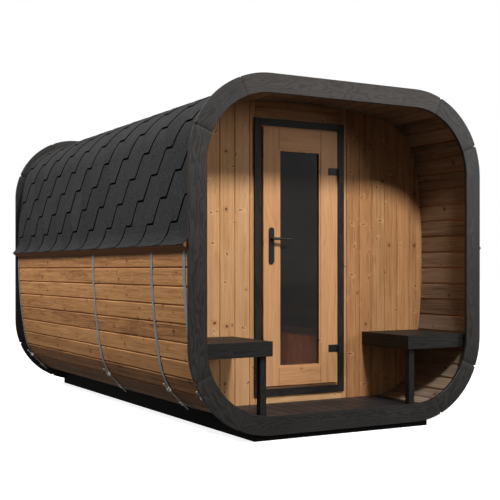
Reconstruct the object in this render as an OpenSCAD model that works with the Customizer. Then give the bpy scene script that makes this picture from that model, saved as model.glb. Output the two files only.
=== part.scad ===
// Outdoor cabin sauna: a tube of timber staves with bowed faces and rounded corners, held by steel
// bands and closed by two end walls. An end ring of black boards trims each end, bitumen shingles
// cover the roof, and a porch with two benches stands in front of the door.
// Lengths are millimetres. X is the width, Y runs from the porch to the back, Z is up.
// The origin is on the ground under the middle of the cabin.

/* [Cabin] */
// Length over the two end rings
cabin_length = 3610; // [3200:10:4400]
// Width over the end rings
ring_width = 2220; // [2160:10:2400]
// Height of the end rings
ring_height = 2200; // [2180:10:2400]
// Outer corner radius of the end rings
ring_corner_r = 556; // [540:2:570]
// Underside of the end rings above the ground
ring_lift = 32; // [26:1:60]

/* [End rings] */
// Width of the ring boards' face
ring_face = 120; // [100:1:130]
// Thickness of the ring boards
ring_thick = 24; // [18:1:30]
// Turn of each corner that the straight boards take at either end, in degrees
ring_board_turn = 22.5; // [15:0.5:30]

/* [Staves] */
// Thickness of the staves
stave_thick = 28; // [26:1:32]
// Step from a ring's sides in to the staves at their widest
stave_step = 19; // [14:1:24]
// Step from a ring's top and bottom in to the staves at their highest and lowest
stave_drop = 27; // [22:1:32]
// Outer radius of the staves' corners
stave_corner_r = 407; // [390:1:420]
// How far the side walls bow out beyond the corners
side_bow = 54; // [48:1:60]
// How far the floor and the ceiling bow out beyond the corners
level_bow = 52; // [46:1:58]

/* [Roof] */
// Thickness of the shingle covering
roof_thick = 7; // [5:0.5:9]
// Height of the eaves above the ground
eave_height = 1183; // [1140:1:1240]
// Reach of the eaves beyond the staves
eave_reach = 51; // [45:1:60]
// Height above the eaves where the shingles start to flare out
flare_height = 90; // [80:1:100]
// Height of the batten that tips the eaves out
batten_height = 95; // [80:1:110]

/* [End walls] */
// Depth of the porch, from the front ring's face to the front wall
porch_depth = 566; // [520:2:700]
// Thickness of the end walls
wall_thick = 45; // [38:1:60]
// Distance from the back ring's face in to the back wall
back_recess = 60; // [40:5:120]

/* [Doorway] */
// Width over the black door surround
surround_width = 720; // [700:2:740]
// Underside of the door surround above the ground
surround_bottom = 188; // [180:1:196]
// Wall left between the door surround and the ceiling
wall_over_door = 124; // [110:1:136]
// Face width of the surround's posts
surround_post = 52; // [48:1:56]
// Face height of the surround's rails
surround_rail = 48; // [44:1:52]
// Thickness of the surround
surround_thick = 12; // [10:1:16]
// Strip of jamb that shows inside the surround
jamb_show = 5.5; // [4:0.5:7]
// Face width of the jamb
jamb_face = 42; // [38:1:46]
// Depth of the stop behind the door leaf
stop_depth = 18; // [14:1:18]
// Reach of the stop behind the door leaf's edge
stop_reach = 16; // [12:1:20]

/* [Door leaf] */
// Clearance round the closed leaf
leaf_gap = 5.5; // [5:0.5:7]
// Height of the sill strip that shows under the leaf
sill_show = 16; // [12:1:18]
// Thickness of the leaf
leaf_thick = 42; // [38:1:42]
// How far the leaf stands out from the surround's face
leaf_proud = 8; // [6:0.5:10]
// Width of the stile on the handle side
handle_stile = 120; // [112:1:126]
// Width of the stile on the hinge side
hinge_stile = 136; // [126:1:142]
// Height of the top rail
top_rail = 142; // [130:1:150]
// Height of the bottom rail
bottom_rail = 122; // [110:1:135]
// Face width of the glazing beads
bead_width = 13; // [10:0.5:15]
// Depth of each glazing bead
bead_depth = 13; // [10:0.5:13]
// Thickness of the glass
glass_thick = 8; // [6:0.5:10]

/* [Door furniture] */
// Height of the levers above the ground
lever_height = 1246; // [1200:1:1290]
// Distance from the leaf's edge to the lever's axis
lever_backset = 60; // [56:0.5:62]
// Length of a lever from its axis
lever_length = 125; // [110:1:140]
// Height of the handle plates
plate_height = 247; // [235:1:260]
// Width of the handle plates
plate_width = 40; // [38:1:44]
// Thickness of the handle plates
plate_thick = 7; // [6:0.5:9]
// Height of the lower hinge above the ground, at its split
hinge_low = 468; // [440:1:500]
// Distance from the leaf's top down to the upper hinge, at its split
hinge_drop = 301; // [280:1:330]
// Radius of the hinge knuckles
knuckle_r = 7; // [6:0.5:7]
// Height of each half of a hinge knuckle
knuckle_height = 50; // [44:1:56]
// Length of the strap on the leaf
strap_length = 74; // [66:1:80]

/* [Porch] */
// Top of the deck and of the room's floor above the ground
floor_height = 140; // [132:1:150]
// Thickness of the floor boards
floor_board = 28; // [21:1:28]
// Top of the bench seats above the ground
seat_height = 600; // [596:1:620]
// Thickness of the bench seats
seat_thick = 28; // [24:1:28]
// Height of the boards that edge the benches
fascia_height = 92; // [80:1:100]
// Clear way between the two benches
bench_way = 1040; // [1000:5:1080]
// Gap between the front ring's back and the benches
bench_setback = 19; // [10:1:30]
// Side of the square bench legs
leg_side = 45; // [40:1:50]
// Step from a bench's inner end in to its leg
leg_inset = 30; // [28:1:45]

/* [Sauna room] */
// Width of the low bench along the right wall
room_bench_width = 612; // [540:2:640]
// Height of the edge of the low bench's seat
room_bench_edge = 60; // [40:1:70]

/* [Steel bands] */
// Width of the bands
band_width = 32; // [28:1:36]
// Thickness of the bands
band_thick = 2; // [1.5:0.5:2]
// Distance of the first band from the front ring's face
band_front = 105; // [95:1:115]
// Distance of the second band from the front ring's face
band_wall = 586; // [560:1:620]
// Distance of the third band from the front ring's face
band_middle = 1644; // [1500:2:1800]
// Distance of the last band from the back ring's face
band_back = 45; // [45:1:60]
// Slope of the lower corners' tensioners, in degrees below the level line
tensioner_angle = 45; // [42:1:48]
// Length of the threaded rods
rod_length = 248; // [230:2:280]
// Radius of the threaded rods
rod_r = 4.5; // [4:0.5:5]
// Distance between the two cross pins of a tensioner
pin_spacing = 120; // [100:2:140]
// Radius of the cross pins
pin_r = 6; // [5:0.5:6]

/* [Base] */
// Step from the end rings' sides in to the base's sides
base_step = 449; // [440:1:460]
// Width of the base's long beams
beam_width = 95; // [80:1:100]
// Width of the base's cross beams
cross_width = 60; // [50:1:60]

/* [Hidden] */

$fn = 180;

// Colours
black_stain = [0.17, 0.165, 0.16];
honey_wood = [0.78, 0.52, 0.32];
leaf_wood = [0.80, 0.56, 0.38];
shingle_grey = [0.24, 0.245, 0.25];
batten_wood = [0.85, 0.66, 0.46];
steel = [0.62, 0.65, 0.70];
iron_black = [0.08, 0.08, 0.085];
deck_brown = [0.24, 0.21, 0.20];

// The cabin's outline: half its length, the corner centres and the height of its middle
half_length = cabin_length/2;
corner_x = ring_width/2 - ring_corner_r;
corner_low = ring_lift + ring_corner_r;
corner_high = ring_lift + ring_height - ring_corner_r;

ring_in_r = ring_corner_r - ring_face;

// The staves' outline: half its width and height, the corners' centres from its middle, the radii of
// the bowed sides and levels, and the turn that each of them takes on either side of its middle
mid_z = ring_lift + ring_height/2;
half_x = ring_width/2 - stave_step;
half_z = ring_height/2 - stave_drop;
turn_x = half_x - side_bow - stave_corner_r;
turn_z = half_z - level_bow - stave_corner_r;
side_r = (pow(half_x - turn_x, 2) + pow(turn_z, 2) - pow(stave_corner_r, 2))/2/side_bow;
level_r = (pow(half_z - turn_z, 2) + pow(turn_x, 2) - pow(stave_corner_r, 2))/2/level_bow;
side_turn = atan(turn_z/(turn_x - half_x + side_r));
level_turn = atan(turn_x/(turn_z - half_z + level_r));
turn_in_r = stave_corner_r - stave_thick;
bow_fn = 1440;
spare_turn = 1;

// Clearance between curved faces, and its turn at the corners' edges
face_fit = 0.02;
fit_turn = 0.003;

// Eaves: the shingles' cut edge, the batten's share above the eave and the steps of the flare
eave_edge = 4;
batten_over = 57;
flare_step = 22;
flare_rise = 30;

// Depths along Y
ring_back = -half_length + ring_thick;
room_end = half_length - ring_thick;
stave_start = ring_back + face_fit;
stave_end = room_end - face_fit;
wall_front = -half_length + porch_depth;
wall_rear = wall_front + wall_thick;
back_wall_rear = half_length - back_recess;
back_wall_front = back_wall_rear - wall_thick;

// Inner faces of the staves at their widest, lowest and highest
inner_x = half_x - stave_thick;
inner_low = mid_z - half_z + stave_thick;
inner_high = mid_z + half_z - stave_thick;

// Distance from the cabin's middle plane to the staves' inner face at a height
function reach_at(z) =
    abs(z - mid_z) < turn_z + turn_in_r*sin(side_turn)
        ? half_x - side_r + sqrt(pow(side_r - stave_thick, 2) - pow(z - mid_z, 2))
        : turn_x + sqrt(pow(turn_in_r, 2) - pow(abs(z - mid_z) - turn_z, 2));

// Points of an arc, both ends included. The chords between them lie inside it or touch it from outside.
function arc_points(centre, r, from_a, to_a, count, outside = false) = [
    for (i = [0:count])
        let (
            a = from_a + i*(to_a - from_a)/count,
            grow = outside ? 1/cos((to_a - from_a)/count/2) : 1
        )
        centre + r*grow*[cos(a), sin(a)]
];

// List without its first point, in reverse, and mirrored to the left side
function rest(points) = [for (i = [1:len(points) - 1]) points[i]];
function back(points) = [for (i = [len(points) - 1:-1:0]) points[i]];
function flip(points) = [for (p = points) [-p.x, p.y]];

// Arcs of the staves' right half at a height d over their outer face, from the middle of the ceiling
// down to a turn on the lower corner, and from such a turn to the middle of the floor
side_steps = 12;
corner_steps = 24;
function upper_path(d, last_turn, outside) = concat(
    arc_points([0, half_z - level_r], level_r + d, 90, 90 - level_turn, side_steps, outside),
    rest(arc_points(
        [turn_x, turn_z], stave_corner_r + d, 90 - level_turn, side_turn, corner_steps, outside
    )),
    rest(arc_points([half_x - side_r, 0], side_r + d, side_turn, -side_turn, 2*side_steps, outside)),
    rest(arc_points([turn_x, -turn_z], stave_corner_r + d, -side_turn, -last_turn, corner_steps, outside))
);

function lower_path(d, first_turn, outside) = concat(
    arc_points([turn_x, -turn_z], stave_corner_r + d, -first_turn, level_turn - 90, corner_steps, outside),
    rest(arc_points([0, level_r - half_z], level_r + d, level_turn - 90, -90, side_steps, outside))
);

// Chords that touch a face at a height d over the staves from outside: up the right side between two
// heights, and along the floor between two places across
function side_chords(z0, z1, d, count) =
    let (a0 = asin((z0 - mid_z)/side_r), a1 = asin((z1 - mid_z)/side_r))
    arc_points([half_x - side_r, mid_z], side_r + d, a0, a1, count, true);

function floor_chords(x, d, count) =
    let (a = asin(x/level_r))
    arc_points([0, mid_z - half_z + level_r], level_r + d, 270 - a, 270 + a, count, true);

// Doorway: faces of the surround, the jamb and the leaf
surround_x = surround_width/2;
surround_in_x = surround_x - surround_post;
surround_top = inner_high - wall_over_door;
surround_front = wall_front - surround_thick;
jamb_in_x = surround_in_x - jamb_show;
jamb_out_x = jamb_in_x + jamb_face;
sill_top = surround_bottom + surround_rail + sill_show;
sill_low = sill_top - jamb_face;
head_low = surround_top - surround_rail - jamb_show;
head_top = head_low + jamb_face;
leaf_x = jamb_in_x - leaf_gap;
leaf_low = sill_top + leaf_gap;
leaf_top = head_low - leaf_gap;
leaf_front = surround_front - leaf_proud;
leaf_rear = leaf_front + leaf_thick;
stop_front = wall_rear - stop_depth;
pane_left = -leaf_x + handle_stile;
pane_right = leaf_x - hinge_stile;
pane_low = leaf_low + bottom_rail;
pane_top = leaf_top - top_rail;
glass_front = leaf_front + (leaf_thick - glass_thick)/2;

// Hinge line, in front of the leaf and over its gap to the jamb
hinge_x = leaf_x + 7;
hinge_y = leaf_front - 10;
hinge_high = leaf_top - hinge_drop;
pin_core_r = 4;
running_fit = 0.05;
knuckle_split = 1;
strap_thick = 4;
hinge_plate = 34;

// Lever set
lever_x = -leaf_x + lever_backset;
neck_r = 9;
neck_length = 38;
spindle_side = 8;
stile_bore_r = 14;
grip_r = 9;
cylinder_drop = 95;
cylinder_r = 9;
plate_over_lever = 76;
plate_drop = plate_height/2 - plate_over_lever;

// Benches
bench_front = ring_back + bench_setback;
bench_x = bench_way/2;
edge_thick = 28;
seat_fit = 0.5;
bench_low = seat_height - fascia_height;
edge_reach = reach_at(bench_low) - seat_fit;
seat_reach = reach_at(seat_height - seat_thick) - seat_fit;
room_bench_x = inner_x - room_bench_width;
room_board = 20;
joist_top = floor_height - floor_board;
joist_x = 400;

// Bands and tensioners
band_ys = [
    -half_length + band_front, -half_length + band_wall,
    -half_length + band_middle, half_length - band_back
];
loop_r = pin_r + band_thick;
loop_lift = 1.2;
band_fit = 0.1;
band_room = band_thick + 0.3;
pin_out_r = stave_corner_r + loop_r + loop_lift;
tension_r = sqrt(pow(pin_out_r, 2) - pow(pin_spacing/2, 2));
pin_turn = atan(pin_spacing/2/tension_r);
pin_overhang = 4;
ear_gap = 12;
ear_inset = 1;
end_turn = 0.4;
nut_flat = 8;
nut_length = 8;

// Base
beam_x = ring_width/2 - base_step;
beam_rise = mid_z - half_z + level_r - sqrt(pow(level_r, 2) - pow(beam_x, 2));
cross_count = 4;

// Cuboid given by its low and high corners
module block(low, high) {
    translate(low) cube(high - low);
}

// Slice of a tube about a line along Y, between two radii, two angles and two depths.
// Angles run from the outward level line, away from the cabin's middle height.
module corner_slice(r_in, r_out, from_a, to_a, y0, y1) {
    translate([0, y1, 0]) rotate([90, 0, 0])
        rotate([0, 0, from_a]) rotate_extrude(angle = to_a - from_a)
            translate([r_in, 0]) square([r_out - r_in, y1 - y0]);
}

// Puts a child that is drawn for the upper right corner of a ring at any of its four corners
module at_corner(right, upper) {
    mirror([right ? 0 : 1, 0, 0])
        translate([corner_x, 0, upper ? corner_high : corner_low])
            mirror([0, 0, upper ? 0 : 1]) children();
}

// The same for the staves' corners
module at_turn(right, upper) {
    mirror([right ? 0 : 1, 0, 0]) translate([turn_x, 0, mid_z + (upper ? turn_z : -turn_z)])
        mirror([0, 0, upper ? 0 : 1]) children();
}

// Slices of the bowed right side, of a bowed level and of a corner, from a depth d0 to a height d1
// over the staves' outer face. Spare is a turn added at either end.
module side_slice(d0, d1, spare, y0, y1) {
    turn = side_turn + spare;
    translate([half_x - side_r, 0, mid_z])
        corner_slice(side_r + d0, side_r + d1, -turn, turn, y0, y1, $fn = bow_fn);
}

module level_slice(upper, d0, d1, spare, y0, y1) {
    turn = level_turn + spare;
    translate([0, 0, mid_z]) mirror([0, 0, upper ? 0 : 1]) translate([0, 0, half_z - level_r])
        corner_slice(level_r + d0, level_r + d1, 90 - turn, 90 + turn, y0, y1, $fn = bow_fn);
}

module turn_slice(right, upper, d0, d1, spare, y0, y1) {
    at_turn(right, upper) corner_slice(
        stave_corner_r + d0, stave_corner_r + d1, side_turn - spare, 90 - level_turn + spare, y0, y1
    );
}

// Everything inside the staves between two depths
module inside(y0, y1) {
    d = -stave_thick - face_fit;
    right = concat(
        upper_path(d, 45, false),
        rest(arc_points([turn_x, -turn_z], stave_corner_r + d, -45, level_turn - 90, side_steps)),
        rest(arc_points([0, level_r - half_z], level_r + d, level_turn - 90, -90, side_steps))
    );
    left = rest(back(rest(flip(right))));
    translate([0, y1, mid_z]) rotate([90, 0, 0]) linear_extrude(y1 - y0) polygon(concat(right, left));
}

module at_both_sides() {
    children();
    mirror([1, 0, 0]) children();
}

// Upright side board of an end ring with its share of both corners
module ring_side(y0, y1) {
    block([corner_x + ring_in_r, y0, corner_low], [corner_x + ring_corner_r, y1, corner_high]);
    for (upper = [true, false])
        at_corner(true, upper) corner_slice(ring_in_r, ring_corner_r, 0, ring_board_turn, y0, y1);
}

// Level board of an end ring with its share of both corners
module ring_level(upper, y0, y1) {
    z = upper ? corner_high + ring_in_r : ring_lift;
    block([-corner_x, y0, z], [corner_x, y1, z + ring_face]);
    for (right = [true, false])
        at_corner(right, upper) corner_slice(ring_in_r, ring_corner_r, 90, 90 - ring_board_turn, y0, y1);
}

module trim_boards(y0, y1) {
    color(black_stain) {
        at_both_sides() ring_side(y0, y1);
        for (upper = [true, false]) ring_level(upper, y0, y1);
    }
}

module trim_corners(y0, y1) {
    color(black_stain)
        for (right = [true, false], upper = [true, false]) at_corner(right, upper)
            corner_slice(ring_in_r, ring_corner_r, ring_board_turn, 90 - ring_board_turn, y0, y1);
}

module front_trim_boards() { trim_boards(-half_length, ring_back); }
module front_trim_corners() { trim_corners(-half_length, ring_back); }
module back_trim_boards() { trim_boards(room_end, half_length); }
module back_trim_corners() { trim_corners(room_end, half_length); }

module stave_level(upper) {
    color(honey_wood) level_slice(upper, -stave_thick, 0, 0, stave_start, stave_end);
}

module stave_side() {
    color(honey_wood) side_slice(-stave_thick, 0, 0, stave_start, stave_end);
}

module stave_corner(right, upper) {
    color(honey_wood) turn_slice(right, upper, -stave_thick, 0, -fit_turn, stave_start, stave_end);
}

module shell_floor() { stave_level(false); }
module shell_ceiling() { stave_level(true); }
module shell_wall_left() { mirror([1, 0, 0]) stave_side(); }
module shell_wall_right() { stave_side(); }
module shell_corner_lower_left() { stave_corner(false, false); }
module shell_corner_lower_right() { stave_corner(true, false); }
module shell_corner_upper_left() { stave_corner(false, true); }
module shell_corner_upper_right() { stave_corner(true, true); }

// Bowed or bent covering of shingles, with the room that the bands need under it
module roof_top() {
    color(shingle_grey) difference() {
        level_slice(true, face_fit, roof_thick, 0, stave_start, stave_end);
        for (y = band_ys)
            level_slice(true, -1, band_room, spare_turn, y - band_width/2, y + band_width/2);
    }
}

module roof_corner(right) {
    color(shingle_grey) difference() {
        turn_slice(right, true, face_fit, roof_thick, -fit_turn, stave_start, stave_end);
        for (y = band_ys)
            turn_slice(right, true, -1, band_room, spare_turn, y - band_width/2, y + band_width/2);
    }
}

module roof_corners() { for (right = [true, false]) roof_corner(right); }

// Strip along the right side with a given section, notched for the bands between two heights
module side_strip(section, z0, z1) {
    notch = concat(
        [[half_x - 2*side_bow, z1], [half_x - 2*side_bow, z0]], side_chords(z0, z1, band_room, side_steps)
    );
    difference() {
        translate([0, room_end, 0]) rotate([90, 0, 0])
            linear_extrude(room_end - ring_back) polygon(section);
        for (y = band_ys) translate([0, y + band_width/2, 0]) rotate([90, 0, 0])
            linear_extrude(band_width) polygon(notch);
    }
}

// Shingles down the side from the upper corner, flared out over the batten
module roof_skirt() {
    top = mid_z + side_r*sin(side_turn);
    low = eave_height + batten_over;
    lean_r = side_r + roof_thick;
    start = asin((eave_height + flare_height - mid_z)/lean_r);
    lean = arc_points([half_x - side_r, mid_z], lean_r, start, side_turn, side_steps);
    color(shingle_grey) side_strip(concat(
        back(side_chords(low, top, face_fit, corner_steps)),
        [
            [half_x + eave_reach - eave_edge, eave_height],
            [half_x + eave_reach, eave_height + eave_edge],
            [half_x + flare_step, eave_height + flare_rise]
        ],
        lean
    ), low - 20, top + 10);
}

module roof_skirts() { at_both_sides() roof_skirt(); }

// Three-sided batten under the eave
module eave_batten() {
    low = eave_height + batten_over - batten_height;
    color(batten_wood) side_strip(concat(
        side_chords(low, eave_height + batten_over, face_fit, side_steps),
        [[half_x + eave_reach - eave_edge, eave_height]]
    ), low - 10, eave_height + batten_over + 10);
}

module eave_battens() { at_both_sides() eave_batten(); }

// Part of an end wall between two places across the cabin and two heights, out to the staves
module wall_part(x0, x1, z0, z1, y0, y1) {
    color(honey_wood) intersection() {
        inside(y0, y1);
        block([x0, y0 - 1, z0], [x1, y1 + 1, z1]);
    }
}

module front_wall_left() { mirror([1, 0, 0]) front_wall_right(); }

module front_wall_right() {
    wall_part(jamb_out_x, half_x, ring_lift, mid_z + half_z, wall_front, wall_rear);
}

module front_wall_over_door() {
    wall_part(-jamb_out_x, jamb_out_x, head_top, mid_z + half_z, wall_front, wall_rear);
}

module front_wall_under_door() {
    wall_part(-jamb_out_x, jamb_out_x, ring_lift, sill_low, wall_front, wall_rear);
}

module back_wall() {
    color(honey_wood) inside(back_wall_front, back_wall_rear);
}

module surround_posts() {
    color(black_stain) at_both_sides()
        block([surround_in_x, surround_front, surround_bottom], [surround_x, wall_front, surround_top]);
}

module surround_rails() {
    color(black_stain)
        for (z = [surround_bottom, surround_top - surround_rail])
            block([-surround_in_x, surround_front, z], [surround_in_x, wall_front, z + surround_rail]);
}

// Rebated jamb: the leaf closes in front of the deeper step
module door_jamb_sides() {
    color(leaf_wood) at_both_sides() {
        block([jamb_in_x, wall_front, sill_low], [jamb_out_x, wall_rear, head_top]);
        block([jamb_in_x - stop_reach, stop_front, sill_top], [jamb_in_x, wall_rear, head_low]);
    }
}

module door_jamb_ends() {
    stop_x = jamb_in_x - stop_reach;
    color(leaf_wood) {
        block([-jamb_in_x, wall_front, sill_low], [jamb_in_x, wall_rear, sill_top]);
        block([-stop_x, stop_front, sill_top], [stop_x, wall_rear, sill_top + stop_reach]);
        block([-jamb_in_x, wall_front, head_low], [jamb_in_x, wall_rear, head_top]);
        block([-stop_x, stop_front, head_low - stop_reach], [stop_x, wall_rear, head_low]);
    }
}

// Hole along Y through the leaf or a plate
module cross_bore(x, z, r) {
    translate([x, leaf_rear + neck_length, z]) rotate([90, 0, 0]) cylinder(r = r, h = leaf_thick*3);
}

module door_stiles() {
    color(leaf_wood) {
        difference() {
            block([-leaf_x, leaf_front, leaf_low], [pane_left, leaf_rear, leaf_top]);
            cross_bore(lever_x, lever_height, stile_bore_r);
            cross_bore(lever_x, lever_height - cylinder_drop, cylinder_r);
        }
        block([pane_right, leaf_front, leaf_low], [leaf_x, leaf_rear, leaf_top]);
    }
}

module door_rails() {
    color(leaf_wood) {
        block([pane_left, leaf_front, leaf_low], [pane_right, leaf_rear, pane_low]);
        block([pane_left, leaf_front, pane_top], [pane_right, leaf_rear, leaf_top]);
    }
}

module door_glass() {
    color([0.16, 0.15, 0.14, 0.6])
        block([pane_left, glass_front, pane_low], [pane_right, glass_front + glass_thick, pane_top]);
}

// Frame of beads on one face of the glass
module bead_frame(y0) {
    difference() {
        block([pane_left, y0, pane_low], [pane_right, y0 + bead_depth, pane_top]);
        block(
            [pane_left + bead_width, y0 - 1, pane_low + bead_width],
            [pane_right - bead_width, y0 + bead_depth + 1, pane_top - bead_width]
        );
    }
}

module glazing_beads() {
    color(leaf_wood) {
        bead_frame(glass_front - bead_depth);
        bead_frame(glass_front + glass_thick);
    }
}

// Long plate with round ends and the lock cylinder through it, standing out from y0 to y1
module handle_plate(y0, y1) {
    r = plate_width/2;
    z_mid = lever_height - plate_drop;
    reach = plate_height/2 - r;
    difference() {
        union() {
            block([lever_x - r, y0, z_mid - reach], [lever_x + r, y1, z_mid + reach]);
            for (side = [-1, 1]) translate([lever_x, y1, z_mid + side*reach])
                rotate([90, 0, 0]) rotate([0, 0, side > 0 ? 0 : 180])
                    rotate_extrude(angle = 180) square([r, y1 - y0]);
        }
        cross_bore(lever_x, lever_height, neck_r + running_fit);
        cross_bore(lever_x, lever_height - cylinder_drop, cylinder_r);
    }
}

module handle_plates() {
    color(iron_black) {
        handle_plate(leaf_front - plate_thick, leaf_front);
        handle_plate(leaf_rear, leaf_rear + plate_thick);
        translate([lever_x, leaf_rear + plate_thick + 4, lever_height - cylinder_drop])
            rotate([90, 0, 0]) cylinder(r = cylinder_r, h = leaf_thick + 2*(plate_thick + 4));
    }
}

// Neck and grip of one lever, for the outside face
module lever_arm() {
    base_y = leaf_front - plate_thick + 4;
    tip_y = base_y - neck_length;
    translate([lever_x, base_y, lever_height]) rotate([90, 0, 0]) cylinder(r = neck_r, h = neck_length);
    translate([lever_x, tip_y + 1, lever_height]) rotate([0, 90, 0])
        cylinder(r = grip_r, h = lever_length);
    translate([lever_x, tip_y + 1, lever_height]) sphere(r = grip_r + 0.4);
    translate([lever_x + lever_length, tip_y + 1, lever_height]) sphere(r = grip_r);
}

module lever_handle() {
    mid_y = (leaf_front + leaf_rear)/2;
    s = spindle_side/2;
    color(iron_black) {
        lever_arm();
        translate([0, 2*mid_y, 0]) mirror([0, 1, 0]) lever_arm();
        block(
            [lever_x - s, leaf_front - plate_thick, lever_height - s],
            [lever_x + s, leaf_rear + plate_thick, lever_height + s]
        );
    }
}

// Half knuckle on the hinge line that starts at a height
module knuckle(z, h) {
    translate([hinge_x, hinge_y, z]) cylinder(r = knuckle_r, h = h);
}

// Leaf side of each hinge: a strap and the upper half of the knuckle, bored for the pin
module hinge_straps() {
    color(iron_black)
        for (z = [hinge_low, hinge_high]) difference() {
            union() {
                knuckle(z + knuckle_split, knuckle_height);
                block(
                    [leaf_x - strap_length, leaf_front - strap_thick, z + knuckle_split],
                    [leaf_x - 1, leaf_front, z + knuckle_height]
                );
                block(
                    [leaf_x - 4, hinge_y - 1, z + knuckle_split],
                    [hinge_x, leaf_front - 1, z + knuckle_height]
                );
            }
            translate([hinge_x, hinge_y, z])
                cylinder(r = pin_core_r + running_fit, h = knuckle_height - 6);
        }
}

// Frame side of each hinge: a plate on the surround, the lower half of the knuckle and the pin
module hinge_posts() {
    color(iron_black)
        for (z = [hinge_low, hinge_high]) {
            knuckle(z - knuckle_height, knuckle_height);
            translate([hinge_x, hinge_y, z - 1]) cylinder(r = pin_core_r, h = knuckle_height - 8);
            block(
                [hinge_x + 1, hinge_y - 2, z - knuckle_height + 1],
                [surround_in_x + 6, surround_front, z - 1]
            );
            block(
                [surround_in_x + 1, surround_front - strap_thick, z - knuckle_height + 1],
                [surround_in_x + 1 + hinge_plate, surround_front, z - 1]
            );
        }
}

// Level layer of the floor out to a distance on either side, from z0 up to z1, closed on the staves
module floor_layer(y0, y1, x, z0, z1) {
    intersection() {
        inside(y0, y1);
        block([-x, y0 - 1, z0], [x, y1 + 1, z1]);
    }
}

module porch_deck() {
    color(deck_brown) floor_layer(ring_back, wall_front, half_x, joist_top, floor_height);
}

module room_floor() {
    color(honey_wood) floor_layer(wall_rear, back_wall_front, half_x, joist_top, floor_height);
}

// Joists that carry the deck and the room's floor on the staves
module floor_joists() {
    span = back_wall_front - wall_rear;
    starts = concat(
        [ring_back, (ring_back + wall_front - leg_side)/2, wall_front - leg_side],
        [for (i = [0:5]) wall_rear + i*(span - leg_side)/5]
    );
    color(deck_brown) for (y = starts) floor_layer(y, y + leg_side, joist_x, ring_lift, joist_top);
}

module bench_seats() {
    color(black_stain) at_both_sides()
        block(
            [bench_x + edge_thick, bench_front + edge_thick, seat_height - seat_thick],
            [seat_reach, wall_front, seat_height]
        );
}

// Boards on edge along the front and the inner end of each bench
module bench_edges() {
    color(black_stain) at_both_sides() {
        block([bench_x, bench_front, bench_low], [edge_reach, bench_front + edge_thick, seat_height]);
        block([bench_x, bench_front, bench_low], [bench_x + edge_thick, wall_front, seat_height]);
    }
}

module bench_legs() {
    y0 = bench_front + edge_thick;
    color(black_stain) at_both_sides()
        block(
            [bench_x + leg_inset, y0, floor_height],
            [bench_x + leg_inset + leg_side, y0 + leg_side, seat_height - seat_thick]
        );
}

module room_bench_seat() {
    color(leaf_wood)
        block(
            [room_bench_x, wall_rear, seat_height - seat_thick],
            [seat_reach, back_wall_front, seat_height]
        );
}

// Board front of the low bench, with a deeper board under the seat's edge
module room_bench_front() {
    color(leaf_wood) {
        block(
            [room_bench_x + room_board, wall_rear, floor_height],
            [room_bench_x + room_board + seat_thick, back_wall_front, seat_height - seat_thick]
        );
        block(
            [room_bench_x, wall_rear, seat_height - room_bench_edge],
            [room_bench_x + room_board, back_wall_front, seat_height - seat_thick]
        );
    }
}

// Two ears at a band's end, folded round the cross pin at a turn from the level line
module band_ears(turn) {
    width = (band_width - ear_gap)/2 - ear_inset;
    at_turn(true, false) rotate([0, -turn, 0])
        for (side = [-1, 1]) translate([pin_out_r, side*(ear_gap + width)/2, 0]) rotate([90, 0, 0])
            difference() {
                cylinder(r = loop_r, h = width, center = true);
                cylinder(r = pin_r + running_fit, h = width + 2, center = true);
            }
}

// Band along a path from the cabin's middle plane and its mirror image, between two faces
module band_run(inner, outer, y0, y1) {
    translate([0, y1, mid_z]) rotate([90, 0, 0]) linear_extrude(y1 - y0)
        polygon(concat(outer, back(inner), rest(flip(inner)), back(rest(flip(outer)))));
}

// One hoop: the long run over the roof and the short run under the floor
module band_hoop() {
    y0 = -band_width/2;
    y1 = band_width/2;
    high_turn = tensioner_angle - pin_turn;
    low_turn = tensioner_angle + pin_turn;
    long_end = high_turn + end_turn;
    short_end = low_turn - end_turn;
    band_run(upper_path(band_fit, long_end, true), upper_path(band_thick, long_end, true), y0, y1);
    band_run(
        back(lower_path(band_fit, short_end, true)), back(lower_path(band_thick, short_end, true)), y0, y1
    );
    at_both_sides() {
        band_ears(high_turn);
        band_ears(low_turn);
    }
}

module steel_bands() {
    color(steel) for (y = band_ys) translate([0, y, 0]) band_hoop();
}

// Threaded rod with a nut at each end, through the cross pins that hold the bands' ends
module tensioner(y) {
    at_turn(true, false) rotate([0, -tensioner_angle, 0]) translate([tension_r, y, 0]) {
        cylinder(r = rod_r, h = rod_length, center = true);
        for (side = [-1, 1]) {
            translate([0, 0, side*pin_spacing/2]) rotate([90, 0, 0])
                cylinder(r = pin_r, h = band_width + 2*pin_overhang, center = true);
            translate([0, 0, side*(pin_spacing/2 + loop_r + nut_length/2)])
                cylinder(r = nut_flat, h = nut_length, center = true, $fn = 6);
        }
    }
}

module band_tensioners() {
    color(steel) at_both_sides() for (y = band_ys) tensioner(y);
}

// Takes the bowed floor and the bands on it out of the base's timbers
module clear_of_floor() {
    difference() {
        children();
        for (cut = concat([[face_fit, -half_length, half_length]],
                          [for (y = band_ys) [band_room, y - band_width/2, y + band_width/2]]))
            translate([0, cut[2], 0]) rotate([90, 0, 0]) linear_extrude(cut[2] - cut[1])
                polygon(concat(
                    floor_chords(beam_x + 10, cut[0], 2*corner_steps),
                    [[beam_x + 10, mid_z], [-beam_x - 10, mid_z]]
                ));
    }
}

module base_beams() {
    color(black_stain) at_both_sides() clear_of_floor()
        block(
            [beam_x - beam_width, ring_back + cross_width, 0],
            [beam_x, room_end - cross_width, beam_rise]
        );
}

module base_crossbeams() {
    step = (room_end - ring_back - cross_width)/(cross_count - 1);
    color(black_stain) clear_of_floor() for (i = [0:cross_count - 1]) {
        y = ring_back + i*step;
        end = i == 0 || i == cross_count - 1;
        x = end ? beam_x : beam_x - beam_width;
        block([-x, y, 0], [x, y + cross_width, beam_rise]);
    }
}

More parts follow.
